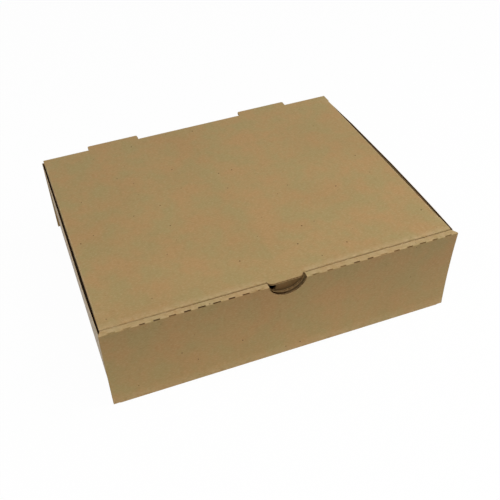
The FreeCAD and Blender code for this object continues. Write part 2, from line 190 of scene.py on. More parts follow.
# The fluted ribbon in the raw edges. Its middle lies at half depth plus
# swing * sin(2 pi v / pitch), where v is the flat coordinate that crosses the flutes. Each
# sample along an edge is a closed ring, out along one face of the paper and back on the other.
def fluteRibbon(points, border, mitre, crossing, origin, first):
    start, end = points[border[:, 0]], points[border[:, 1]]
    steps = np.abs(end - start)
    counts = steps[:, crossing] / board["sampling"] + steps[:, 1 - crossing] / board["straight"]
    counts = np.maximum(np.ceil(counts), 1).astype(int)
    samples = counts + 1
    owner = np.repeat(np.arange(len(border)), samples)
    within = np.arange(len(owner)) - np.repeat(np.cumsum(samples) - samples, samples)
    part = (within / counts[owner])[:, None]
    foot = start[owner] + part * (end - start)[owner]
    into = mitre[border[:, 0]][owner] * (1 - part) + mitre[border[:, 1]][owner] * part
    depths = np.array(board["depths"]) * board["groove"]
    ribbon = foot[:, None, :] + depths[None, :, None] * into[:, None, :]
    half = 0.5 * board["medium"] / board["thickness"]
    swing = 0.5 - linerShare - half
    phase = 2 * np.pi * (ribbon[..., crossing] + origin[crossing]) / board["pitch"]
    middle = 0.5 + swing * np.sin(phase)
    loop = np.concatenate([ribbon, ribbon[:, ::-1]], axis=1)
    shares = np.concatenate([middle - half, (middle + half)[:, ::-1]], axis=1)
    ring = np.arange(loop.shape[1])
    after = (ring + 1) % len(ring)
    here = first + np.flatnonzero(within < counts[owner])[:, None] * len(ring)
    beyond = here + len(ring)
    quads = np.stack([here + ring, beyond + ring, beyond + after, here + after], axis=-1)
    return loop.reshape(-1, 2), shares.ravel(), quads.reshape(-1, 4)


# The board over a flat sheet. Its faces are the surface at no depth and at full depth. Along
# each raw edge the two liners show their cut, and between them a groove goes in by
# groove * mitre, with the fluted ribbon in it. The cuts are the materials of the five rows of
# that wall; the middle one is a painted shadow. Tone gives the outer side's pale creases, partly a painted
# highlight, and its painted shade; insideTone gives the painted shade of the inner side.
def boardPart(sheet, surface, flutesAcross, joint=None, origin=0.0, tone=None, insideTone=None,
              cuts=(1, 2, 3, 2, 1)):
    plain, points, quads = sheet
    size, origin = len(points), np.array([origin, 0.0])
    crossing = 0 if flutesAcross == "along" else 1
    border, mitre = rawEdges(sheet, joint)
    rim = np.unique(border)
    deep = points[rim] + board["groove"] * mitre[rim]
    first = 2 * size + np.arange(5) * len(rim)
    place = np.searchsorted(rim, border)
    ladder = np.stack([border, *(place + base for base in first[:4]), border + size])
    walls = np.stack([ladder[:-1, :, 1], ladder[:-1, :, 0], ladder[1:, :, 0], ladder[1:, :, 1]], axis=-1)
    ribbon, ribbonShares, ribbonQuads = fluteRibbon(points, border, mitre, crossing, origin, first[4])
    flat = np.concatenate([points, points, points[rim], deep, deep, points[rim], ribbon])
    levels = [0.0, 1.0, linerShare, linerShare, 1 - linerShare, 1 - linerShare]
    share = np.concatenate([np.repeat(levels, [size] * 2 + [len(rim)] * 4), ribbonShares])
    places = surface(flat, share)
    faces = np.concatenate([quads, quads[:, ::-1] + size, walls.reshape(-1, 4), ribbonQuads])
    kinds = np.concatenate([np.zeros(2 * len(quads), int), np.repeat(cuts, len(border)),
                            np.full(len(ribbonQuads), cuts[1])])
    corner = places[quads[:, :3]]
    normals = np.cross(corner[:, 1] - corner[:, 0], corner[:, 2] - corner[:, 0])
    outwards = corner[:, 0] - places[quads[:, 0] + size]
    if (normals * outwards).sum() < 0:
        faces = faces[:, ::-1]
    outside, inside = (0 * share if side is None else side(*flat.T) for side in (tone, insideTone))
    return {"places": places, "faces": faces, "kinds": kinds,
            "wearAndPaintedLight": np.where(share < 0.5, outside, inside),
            "sheet": (flat + origin)[:, [1 - crossing, crossing]]}


# 1 in the arcs of a section, falling to 0 within a reach on each side: 1 - away / reach.
def foldMask(section, reach=1.0):
    def mask(along, across):
        away = np.full(along.shape, np.inf)
        for first, last in section["arcs"]:
            away = np.minimum(away, np.maximum(np.maximum(first - along, along - last), 0))
        return np.clip(1 - away / reach, 0, 1)
    return mask


# How far a quarter round of a radius pulls a limit in, at a distance before the edge:
# radius - sqrt(radius^2 - (radius - before)^2).
def cornerPull(before, radius):
    inside = np.clip(radius - before, 0, radius)
    return radius - np.sqrt(np.clip(radius ** 2 - inside ** 2, 0, None))


# Distances from the edge at which a quarter round has even angles: radius * (1 - cos angle).
def cornerSteps(radius, steps=9):
    return radius * (1 - np.cos(np.linspace(0, np.pi / 2, steps + 1)))


# Columns beyond an anchor closed up in proportion, so that the outermost lies at the limit:
# anchor + (across - anchor) * (limit - anchor) / (outermost - anchor).
def closeUp(across, anchor, outermost, limit):
    beyond = np.clip((across - anchor) / (outermost - anchor), 0, None)
    return np.where(beyond > 0, anchor + beyond * (limit - anchor), across)


# One mesh object from its parts, in metres, merged where they touch.
def makePiece(name, parts, materials, body=None):
    starts = np.cumsum([0] + [len(part["places"]) for part in parts[:-1]])
    places, kinds, sheet, wearAndPaintedLight = (np.concatenate([part[key] for part in parts])
                                  for key in ("places", "kinds", "sheet", "wearAndPaintedLight"))
    faces = np.concatenate([part["faces"] + start for part, start in zip(parts, starts)])
    corners = faces.ravel()
    mesh = bpy.data.meshes.new(name)
    mesh.vertices.add(len(places))
    mesh.vertices.foreach_set("co", (places * millimetre).astype(np.float32).ravel())
    mesh.loops.add(len(corners))
    mesh.loops.foreach_set("vertex_index", corners.astype(np.int32))
    mesh.polygons.add(len(faces))
    mesh.polygons.foreach_set("loop_start", np.arange(0, len(corners), 4, dtype=np.int32))
    mesh.polygons.foreach_set("material_index", kinds.astype(np.int32))
    mesh.polygons.foreach_set("use_smooth", np.ones(len(faces), bool))
    mesh.update(calc_edges=True)
    flat = (sheet * millimetre)[corners].astype(np.float32)
    mesh.uv_layers.new(name="sheet").data.foreach_set("uv", flat.ravel())
    # Per point: above 0 pale creases, partly a painted highlight; below 0 painted shade.
    mesh.attributes.new("wearAndPaintedLight", "FLOAT", "POINT").data.foreach_set("value", wearAndPaintedLight.astype(np.float32))
    merged = bmesh.new()
    merged.from_mesh(mesh)
    bmesh.ops.remove_doubles(merged, verts=merged.verts, dist=touch * millimetre)
    merged.to_mesh(mesh)
    merged.free()
    mesh.set_sharp_from_angle(angle=np.radians(board["sharpAngle"]))
    for material in materials:
        mesh.materials.append(material)
    piece = bpy.data.objects.new(name, mesh)
    bpy.context.scene.collection.objects.link(piece)
    if body is not None:
        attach(piece, body)
    print(name, "triangles", sum(len(face.vertices) - 2 for face in mesh.polygons))
    return piece


# How this box has been pushed out of true.
handled = {
    "drawnFront": 1.2,       # a side wall's top, drawn in at the front corner
    "drawnRear": (-0.25, 2.9),      # and at the left and right rear corners
    "drawnOver": 75.0,       # length of wall that leans in to the front corner
    "drawnFrom": -15.0,      # where it starts to lean towards the rear one
    "drawnBeyond": 70.0,     # half width inside which the base and the flaps stay as they are
    "bow": 1.2,              # front wall pressed in at half its height
    "bowDepth": 12.0,        # how far behind its face that has faded out, and over what length
    "bowFade": 5.0,
    "skew": 0.8,             # how much further back the joint with the lid lies at the right
    "skewFrom": -10.0,       # where across the box that starts, and over what width it grows
    "skewOver": 60.0,
    "skewWall": (1.0, 3.0),         # where it starts behind the front face, and its depth
    "skewLid": (17.0, -8.0),        # where it ends behind the lid's front, and its depth
    "lidShift": 1.2,         # how far the lid's rear lies to the left of the tray's middle
    "endShift": 2.3,         # and the rear wall's right raw end
    "shiftHalf": 120.0,      # half width that moves with the lid
    "heldFrom": 1.0,         # how far below the top the ears start to be held in
    "heldOver": 2.0,         # and over what height
}


# A part of the side walls or their flaps with the tops drawn in near both corners: x moves
# inwards by drawn * share * height / full height. Towards the front corner share is the square
# of the way through its length. Towards the rear it grows evenly, and both tops lie to the
# left there, as the lid does.
def drawnIn(part):
    x, y, z = part["places"].T.copy()
    over, start, middle = (handled[key] for key in ("drawnOver", "drawnFrom", "drawnBeyond"))
    front = np.clip((frontFace + over - y) / over, 0, 1) ** 2 * handled["drawnFront"]
    rear = np.clip((y - start) / (rearFace - start), 0, 1)
    rear = rear * np.interp(x, [-1, 1], handled["drawnRear"])
    outer = np.clip((np.abs(x) - middle) / middle, 0, 1)
    part["places"][:, 0] = x - np.sign(x) * (front + rear) * outer * z / topFace
    return part


# A part with its share of the front wall pressed in: y moves by bow * 4 h (1 - h), h being the
# height as a share of the whole, fading out behind the wall.
def pressedIn(part):
    share = part["places"][:, 2] / topFace
    near = (frontFace + handled["bowDepth"] - part["places"][:, 1]) / handled["bowFade"]
    part["places"][:, 1] += handled["bow"] * 4 * share * (1 - share) * np.clip(near, 0, 1)
    return part


# A part whose right half lies a little further back around the joint with the lid: y moves by
# skew * share across * share of the way from a start behind the face through the depth.
def skewed(part, face, reach):
    x, y = part["places"][:, 0], part["places"][:, 1]
    nearest, depth = face + reach[0], reach[1]
    right = np.clip((x - handled["skewFrom"]) / handled["skewOver"], 0, 1)
    part["places"][:, 1] += handled["skew"] * right * np.clip((y - nearest) / depth, 0, 1)
    return part


# Lid parts turned a little: x moves left by lidShift * the share of the lid's depth. The ears
# are held in by as much again below their folds, to stay inside the walls.
def turned(part, held=0.0):
    x, y, z = part["places"].T.copy()
    share = np.clip((y - lidFront) / (rearFace - lidFront), 0, 1)
    below = np.clip((topFace - handled["heldFrom"] - z) / handled["heldOver"], 0, 1)
    inwards = held * np.sign(x) * below
    part["places"][:, 0] = x - share * (handled["lidShift"] + inwards)
    return part


tray = {
    "footStep": 2.0,         # side wall's foot, in from the front wall's raw edge
    "flare": 1.7,            # outward lean of a side wall
    "sideDrop": 0.6,         # raw top of a side wall below the lid
    "slopeLength": 60.0,     # the slope of that top at the rear, and how far it comes down
    "slopeDrop": 2.0,
    "slopeFade": 18.0,       # how far below it the wall gives way
    "frontFlap": 62.0,       # lengths of the corner flaps and of their slanted ends
    "rearFlap": 42.0,
    "flapTaper": 9.0,
    "flapStub": 0.02,        # of wall beyond their folds
    "frontBase": 8.0,        # width of the base that is made with the front or rear wall
    "rearBase": 5.0,
    "wallPlay": 0.4,         # room beside the inner front panel
    "wallSpring": 0.6,       # how far the front wall's two plies stand open
    "frontHalf": (151.6, 152.0),    # half width of the front panel at its foot and top
    "frontShift": (-0.3, 0.5),      # and how far its middle lies to the right there
    "frontCell": 5.5,        # longest step of its grid across
    "frontFlutes": 115.0,    # where the flutes of the front and the rear sheet start
    "rearFlutes": 123.0,
    "reliefWidth": 6.0,      # cut-outs at its lower corners
    "reliefHeight": 1.1,
    "lockWidth": 36.0,       # tabs that lock the inner front panel into the base
    "lockSpread": 140.0,
    "lockPlay": 0.3,
    "notchRadius": 16.3,     # thumb notch, and its middle above the tray
    "notchRise": 2.2,
    "notchShift": 0.4,       # how far it lies to the right
    "notchReach": (19.0, 30.0),     # half widths that its curve and its shift run out to
    "notchBeside": (0.0, 2.5, 5.0), # columns inside the first of them
    "notchDepth": (2.0, 4.5, 7.5, 11.0),    # rows under it, over which the curve runs out
    "slitOpen": (0.12, 0.5, 0.62),  # a cut's half width at its floor, its rim and its shade
    "slitDepth": 0.9,        # share of the board that it goes in by
    "slitShade": 3,          # how fast it darkens from the edge of its shade
    "slitWander": 0.35,      # how far its ends stray
    "outerSlit": (11.88, 5.4, 0.8), # pitch, length and shift of the cuts along the outer crease
    "outerSeen": ((30, 90), (1.0, 0.55)),   # how strong they show, at these places across
    "innerSlit": (20.8, 12.3, 7.4), # first, pitch and length of the cuts along the inner crease
    "innerBack": 0.3,        # how far these lie before the middle of the fold
    "innerSeen": ((-150, -95, -80, -15, 15, 90, 110, 150), (0.2, 0.5, 0.85, 0.9, 0.65, 0.75, 1.0, 0.7)),
    "tornReach": (-86.0, 150.0),    # where those cuts have run into each other
    "plyShade": (1.0, 0.3),  # shade between the two plies, left and right of the notch
    "plyEnds": (-8.0, 6.0),
    "upperShade": 0.25,      # how much darker the outer panel is at its top
    "endDrop": 3.0,          # raw ends of the rear wall beside the lid
}

innerPanelBack = frontFace + 2 * plyStep + board["thickness"] + tray["wallSpring"]
halfFoot = halfWidth - tray["footStep"]
halfSideTop = halfFoot + tray["flare"]
sideTop = topFace - tray["sideDrop"]
underStrip = topFace - plyStep
aboveBase = plyStep
notchMiddle = topFace + tray["notchRise"]


# The perforations as pairs of ends along each crease, with how strong each shows: even places
# with strayed ends, those in the torn reach lengthened until they meet.
def makeSlits():
    rng = np.random.default_rng(12)
    outerPitch, outerLength, shift = tray["outerSlit"]
    first, pitch, length = tray["innerSlit"]
    outerMiddles = np.arange(-12, 13) * outerPitch + shift
    innerMiddles = first + pitch * np.arange(11)
    innerMiddles = np.concatenate([-innerMiddles[::-1], innerMiddles])
    slits = []
    for middles, size in ((outerMiddles, outerLength), (innerMiddles, length)):
        ends = middles[:, None] + np.array([-0.5, 0.5]) * size
        slits.append(ends + rng.normal(0, tray["slitWander"], ends.shape))
    outer, inner = slits
    outer = outer[np.abs(outer).min(1) > tray["notchReach"][0]]
    torn = (inner.mean(1) > tray["tornReach"][0]) & (inner.mean(1) < tray["tornReach"][1])
    inner[torn, 1] += pitch - length
    outerStrength = rng.uniform(0.3, 0.7, len(outer)) * np.interp(outer.mean(1), *tray["outerSeen"])
    return (outer, outerStrength), (inner, np.interp(inner.mean(1), *tray["innerSeen"]))


# Front of the tray: base, outer panel, roll-over strip, inner panel and its lock tabs. The
# notch is cut square and the warp carries its sides to x = sqrt(radius^2 - rise^2).
def makeFrontSheet():
    section = foldedSection([(frontFace + tray["frontBase"], 0), (frontFace, 0), (frontFace, topFace),
                             (innerPanelBack, topFace), (innerPanelBack, board["gap"])])
    arcs, end = section["arcs"], section["end"]
    radius, squareHalf = tray["notchRadius"], tray["notchRadius"] * np.sqrt(0.5)
    squareFoot = notchMiddle - squareHalf
    halfRelief = halfWidth - tray["reliefWidth"]
    straightTop = topFace - board["foldRadius"]
    curveReach, shiftReach = tray["notchReach"]
    curveDepth = tray["notchDepth"][-1]
    floor, rim, shade = tray["slitOpen"]

    # Row of a height on the outer panel: start of its fold - (straight top - height).
    def outerRow(height):
        return arcs[1][0] - (straightTop - height)

    # Row of a height on the inner panel: end of its fold + (straight top - height).
    def innerRow(height):
        return arcs[2][1] + (straightTop - height)

    relief = outerRow(tray["reliefHeight"] + board["gap"])
    lockTop = innerRow(aboveBase)
    levels = np.concatenate([notchMiddle - radius * np.cos(np.radians(np.arange(45, 84, 4.5))),
                             squareFoot - np.array(tray["notchDepth"]), [squareFoot]])
    creases = [sum(arc) / 2 for arc in arcs[1:]]
    slitLines = [creases[0], creases[1] - tray["innerBack"]]
    slitRows = np.add.outer(slitLines, [-shade, -rim, -floor, floor, rim, shade])
    slotRows = frontFace + tray["frontBase"] - innerPanelBack + np.array(
        [board["thickness"] + tray["lockPlay"], -tray["lockPlay"]])
    rows = spread(0, end, [*section["steps"], relief, lockTop, slotRows, outerRow(levels),
                           innerRow(levels), slitRows])

    slits = makeSlits()
    slitColumns = np.add.outer(np.concatenate([ends for ends, strength in slits]), [-floor, floor])
    notchColumns = squareHalf * np.sin(np.radians(np.arange(-90, 91, 15)))
    besideNotch = curveReach - np.array(tray["notchBeside"])
    lockMiddle, lockHalf = tray["lockSpread"] / 2, tray["lockWidth"] / 2
    slotHalf = lockHalf + tray["lockPlay"]
    lockEnds = np.add.outer([-lockMiddle, lockMiddle], [-slotHalf, -lockHalf, lockHalf, slotHalf])
    columns = spread(-halfWidth, halfWidth, [slitColumns, notchColumns, besideNotch, -besideNotch,
                                             -halfRelief, halfRelief, lockEnds], tray["frontCell"])

    # How far a place lies in a cut, from 0 to its strength: the share of the way in from its
    # rim, times that from its nearer end.
    def slitShare(along, across, reach=None):
        most = np.zeros(along.shape)
        for middle, (ends, strength) in zip(slitLines, slits):
            nearest = np.abs(across[..., None] - ends.mean(1)).argmin(-1)
            inside = np.minimum(across - ends[nearest, 0], ends[nearest, 1] - across)
            shape = np.clip((inside + floor) / (2 * floor), 0, 1)
            if reach is not None:
                shape = shape * np.clip((reach - np.abs(along - middle)) / (reach - floor), 0, 1)
            most = np.maximum(most, shape * strength[nearest])
        return most

    def dent(along, across):
        return np.minimum(slitShare(along, across, rim), tray["slitDepth"])

    # Pale along the creases, partly a painted highlight; painted shade in the cuts and a little
    # painted shade towards the panel's top: crease * (1 - 2 cut) - cut - upperShade * height.
    def tone(along, across):
        height = np.interp(along, section["along"], section["outer"][:, 1]) / topFace
        upper = np.clip(height, 0, 1) * (along < arcs[1][0] + 0.6) * tray["upperShade"]
        cut = np.clip(tray["slitShade"] * slitShare(along, across, shade), 0, slitShare(along, across))
        creased = (along < arcs[0][1] + 2) | (along > creases[0] - 0.4)
        crease = foldMask(section)(along, across) * creased
        return crease * (1 - np.clip(2 * cut, 0, 1)) - cut - upper

    # Painted shade between the two plies, full at the left of the notch and less at its right.
    def insideTone(along, across):
        return -np.interp(across, tray["plyEnds"], tray["plyShade"])

    def keep(along, across):
        side = np.abs(across)
        fromLock = np.abs(side - lockMiddle)
        slot = (fromLock < slotHalf) & (along > slotRows.min()) & (along < slotRows.max())
        notch = (side < squareHalf) & (along > outerRow(squareFoot)) & (along < innerRow(squareFoot))
        corner = (side > halfRelief) & (along < relief)
        underPanel = (along > lockTop) & (fromLock > lockHalf)
        return ~(slot | notch | corner | underPanel)

    # The raw ends follow the front panel's width, then the side walls' inner faces. The
    # notch's sides go to its circle and its foot sags by sqrt(radius^2 - x^2) - squareHalf.
    def warp(along, across):
        side, sign = np.abs(across), np.sign(across)
        height = np.interp(along, section["along"], section["outer"][:, 1])
        share = height / topFace
        halfFront = np.interp(share, [0, 1], tray["frontHalf"])
        sideWall = np.interp(along, [creases[1], end], [halfSideTop - handled["drawnFront"], halfFoot])
        sideWall = sideWall - board["thickness"] - tray["wallPlay"]
        turn = np.clip((along - creases[0]) / (creases[1] - creases[0]), 0, 1)
        limit = halfFront + (sideWall - halfFront) * turn
        limit = limit + sign * np.interp(share, [0, 1], tray["frontShift"]) * (1 - turn)
        inNotch = (along > outerRow(squareFoot) - touch) & (along < innerRow(squareFoot) + touch)
        half = np.sqrt(np.clip(radius ** 2 - (notchMiddle - height) ** 2, 0, None))
        fade = np.clip((curveReach - side) / (curveReach - squareHalf), 0, 1)
        opened = side + (half - squareHalf) * fade
        side = np.where(inNotch & (side > squareHalf - touch), opened, side)
        sag = np.sqrt(np.clip(radius ** 2 - across ** 2, 0, None)) - squareHalf
        sag = np.where(np.abs(across) < squareHalf, np.clip(sag, 0, None), 0)
        below = np.clip(1 - (squareFoot - height) / curveDepth, 0, 1) * (height < squareFoot + touch)
        onOuter = (along > arcs[0][1]) & (along < creases[0])
        onInner = along > creases[1]
        along = along - np.where(onOuter, sag * below, 0) + np.where(onInner, sag * below, 0)
        near = np.clip((shiftReach - side) / (shiftReach - curveReach), 0, 1)
        moved = tray["notchShift"] * near * (height > squareFoot - curveDepth - 1)
        return along, sign * closeUp(side, halfRelief, halfWidth, limit) + moved

    part = boardPart(flatSheet(rows, columns, keep, warp), sheetSurface(section, "yzx", dent=dent),
                     "along", joint=lambda along, across: along < touch, origin=tray["frontFlutes"],
                     tone=tone, insideTone=insideTone)
    return pressedIn(skewed(part, frontFace, handled["skewWall"]))


# Rear wall, with the windows that the lid's tabs leave in its top. Its upper part moves to the
# left by shift * (1 - along / height), with the lid.
def makeRearSheet():
    crest = topFace - lid["score"]
    section = foldedSection([(rearFace, crest), (rearFace, 0), (rearFace - tray["rearBase"], 0)])
    end = section["end"]
    crease, sill = lid["hingeReach"] - lid["score"], crest - windowSill
    foot = section["arcs"][0][0] + board["foldRadius"] / 2
    foldHalf = halfFoot - board["foldRadius"]
    rows = spread(0, end, [*section["steps"], crease, tray["endDrop"], sill, foot])
    columns = spread(-halfWidth, halfWidth, [windowEnds, -windowEnds, halfRaw, -halfRaw,
                                             foldHalf, -foldHalf])

    def keep(along, across):
        side = np.abs(across)
        window = (side > windowEnds[0]) & (side < windowEnds[1]) & (along < sill)
        aboveCrease = (along < crease) & (side < halfRaw)
        beside = (along < tray["endDrop"]) & (side > halfRaw)
        return ~(window | aboveCrease | beside | ((along > foot) & (side > foldHalf)))

    def warp(along, across):
        moved, half = handled["lidShift"], handled["shiftHalf"]
        shift = np.interp(across, [-halfFoot, -half, half, halfFoot], [0, moved, moved, handled["endShift"]])
        return along, across - shift * np.clip(1 - along / topFace, 0, 1)

    return boardPart(flatSheet(rows, columns, keep, warp), sheetSurface(section, "yzx"), "along",
                     joint=lambda along, across: along > end - touch, origin=tray["rearFlutes"],
                     tone=foldMask(section))


# Base and both leaning side walls: one section from the right wall's top to the left one's.
# Towards the rear the raw top slopes down by slopeDrop * share of slopeLength.
def makeBaseAndSides():
    section = foldedSection([(halfSideTop, sideTop), (halfFoot, 0), (-halfFoot, 0), (-halfSideTop, sideTop)])
    end = section["end"]
    centre = end / 2
    wallFront, wallRear = frontFace + plyStep, rearFace - plyStep
    foldFront, foldRear = wallFront + board["foldRadius"], wallRear - board["foldRadius"]
    baseFront, baseRear = frontFace + tray["frontBase"], rearFace - tray["rearBase"]
    shoulderBack = innerPanelBack + tray["wallPlay"]
    slopeStart = rearFace - tray["slopeLength"]
    slant = np.hypot(tray["flare"], sideTop) / sideTop
    halfRelief, foldHalf = halfWidth - tray["reliefWidth"], halfFoot - board["foldRadius"]
    shoulder, flapFoot = (sideTop - underStrip) * slant, (sideTop - aboveBase) * slant
    halfRows = spread(0, centre, [section["steps"][0], shoulder, flapFoot, centre - halfRelief,
                                  centre - foldHalf])
    rows = np.unique(np.round(np.concatenate([halfRows, end - halfRows]), 4))
    columns = spread(wallFront, wallRear, [foldFront, foldRear, baseFront, baseRear, shoulderBack,
                                           slopeStart])

    def keep(along, across):
        fromTop = np.minimum(along, end - along)
        fromMiddle = np.abs(along - centre)
        beyondFold = (fromTop < flapFoot) & ((across < foldFront) | (across > foldRear))
        front = (fromMiddle < halfRelief) & (across < baseFront)
        back = (fromMiddle < foldHalf) & (across > baseRear)
        return ~(beyondFold | front | back | ((fromTop < shoulder) & (across < shoulderBack)))

    def warp(along, across):
        fromTop = np.minimum(along, end - along)
        drop = np.clip((across - slopeStart) / tray["slopeLength"], 0, 1) * tray["slopeDrop"] * slant
        lowered = fromTop + drop * np.clip(1 - fromTop / tray["slopeFade"], 0, 1)
        return np.where(along < centre, lowered, end - lowered), across

    def joint(along, across):
        fromTop, fromMiddle = np.minimum(along, end - along), np.abs(along - centre)
        toFront = (np.abs(across - baseFront) < touch) & (fromMiddle < halfRelief)
        toRear = (np.abs(across - baseRear) < touch) & (fromMiddle < foldHalf)
        besideFlap = (np.abs(across - foldFront) < touch) | (np.abs(across - foldRear) < touch)
        return toFront | toRear | (besideFlap & (fromTop < flapFoot))

    # The side walls' raw edges, all but the outer liner, take the dark painted-shade cut.
    part = boardPart(flatSheet(rows, columns, keep, warp), sheetSurface(section, "xzy"), "across",
                     joint=joint, origin=-centre, tone=foldMask(section), cuts=(1, 4, 3, 4, 4))
    return pressedIn(drawnIn(part))


# The flaps at the ends of the side walls: a section round the upright fold, carried up. Their
# free ends are cut at a slant by up to the taper.
def makeCornerFlaps():
    lean, parts = tray["flare"] / sideTop, []
    taper, stub = tray["flapTaper"], board["foldRadius"] + tray["flapStub"]
    for length, top, corner, atFront in (
            (tray["frontFlap"], underStrip, frontFace + plyStep, True),
            (tray["rearFlap"], sideTop - tray["slopeDrop"], rearFace - plyStep, False)):
        path = [(halfFoot, corner + stub), (halfFoot, corner), (halfFoot - length, corner)]
        if not atFront:
            path = [(halfFoot - length, corner), (halfFoot, corner), (halfFoot, corner - stub)]
        section = foldedSection(path)
        end = section["end"]
        seam = 0.0 if atFront else end
        rows = spread(0, end, [*section["steps"], abs(end - seam - taper)])
        columns = spread(aboveBase, top)

        def warp(along, across, end=end, seam=seam, top=top):
            cut = np.clip(taper - (end - np.abs(along - seam)), 0, None)
            share = (across - aboveBase) / (top - aboveBase)
            return along, aboveBase + cut + share * (top - aboveBase - 2 * cut)

        def joint(along, across, seam=seam):
            return np.abs(along - seam) < touch

        sheet = flatSheet(rows, columns, warp=warp)
        for mirrored in (False, True):
            surface = sheetSurface(section, "xyz", lean=lean, mirrored=mirrored)
            part = boardPart(sheet, surface, "along", joint=joint, origin=corner, tone=foldMask(section))
            parts.append(pressedIn(drawnIn(part)))
    return parts


lid = {
    "frontPlay": 0.2,        # room behind the front wall and beside the side walls
    "sidePlay": 0.9,
    "rawStep": 0.15,         # raw ends beside the ears, in from their folds
    "foldInset": 1.5,        # where the flat panel meets those folds
    "score": 0.1,            # between the lid and the rear wall
    "hingeReach": 1.6,       # width of the bare crease on each side of the corner
    "flutes": -60.0,         # where the flutes of the lid and of its ears start
    "earFlutes": 40.0,
    "lipLength": 3.5,        # lip in the notch, with rounded corners
    "lipPlay": 0.5,
    "lipRound": 4.8,
    "lipAnchor": 6.0,        # width of its sides that the rounding closes up
    "lipCell": (1.2, 2.5),
    "lipFade": 3.0,          # beside it, where the fold turns pale
    "tuckDepth": 38.0,       # tuck flap behind the front wall
    "tuckLean": 4.2,
    "tuckInset": 1.5,
    "tuckCorner": 14.0,
    "tuckAnchor": 22.0,
    "tuckStep": 3.0,         # below the fold, where it has its full width
    "tuckShade": 0.5,        # how much darker the flap is where the notch bares it
    "shadeHalf": (15.0, 22.0),      # half width of that at full shade and where it ends
    "shadeDepth": (12.0, 20.0),     # and its depth
    "gapSides": (-16.2, -6.8),      # relief cut in the tuck flap, under the lip's left end
    "gapDepth": 10.5,
    "gapRound": 3.6,
    "earDepth": 30.0,        # ears inside the side walls
    "earLean": 2.4,
    "earFront": 18.0,        # how far they stop before the lid's front and rear
    "earRear": 12.0,
    "earCorner": 12.0,
    "earAnchor": 24.0,
    "tabWidth": 50.5,        # rear tabs, from middle to middle, and the windows round them
    "tabSpread": 158.4,
    "tabRound": 1.5,
    "tabAnchor": 9.0,
    "tabPlay": 0.3,
    "windowDrop": 0.5,
}

lidFront = innerPanelBack + lid["frontPlay"]
halfLid = halfSideTop - board["thickness"] - lid["sidePlay"]
halfRaw = halfLid - lid["rawStep"]
halfPanel = halfLid - lid["foldInset"]
halfTuck = halfLid - lid["tuckInset"]
halfLip = np.sqrt(tray["notchRadius"] ** 2 - tray["notchRise"] ** 2) - lid["lipPlay"]
tabLength = lidHigh[1] - rearFace
tabEnds = lid["tabSpread"] / 2 + np.array([-0.5, 0.5]) * lid["tabWidth"]
windowEnds = tabEnds + np.array([-1, 1]) * lid["tabPlay"]
windowSill = topFace - tabLength - lid["windowDrop"]
earFrontEnd = lidFront + lid["earFront"]
earRearEnd = rearFace - lid["earRear"]


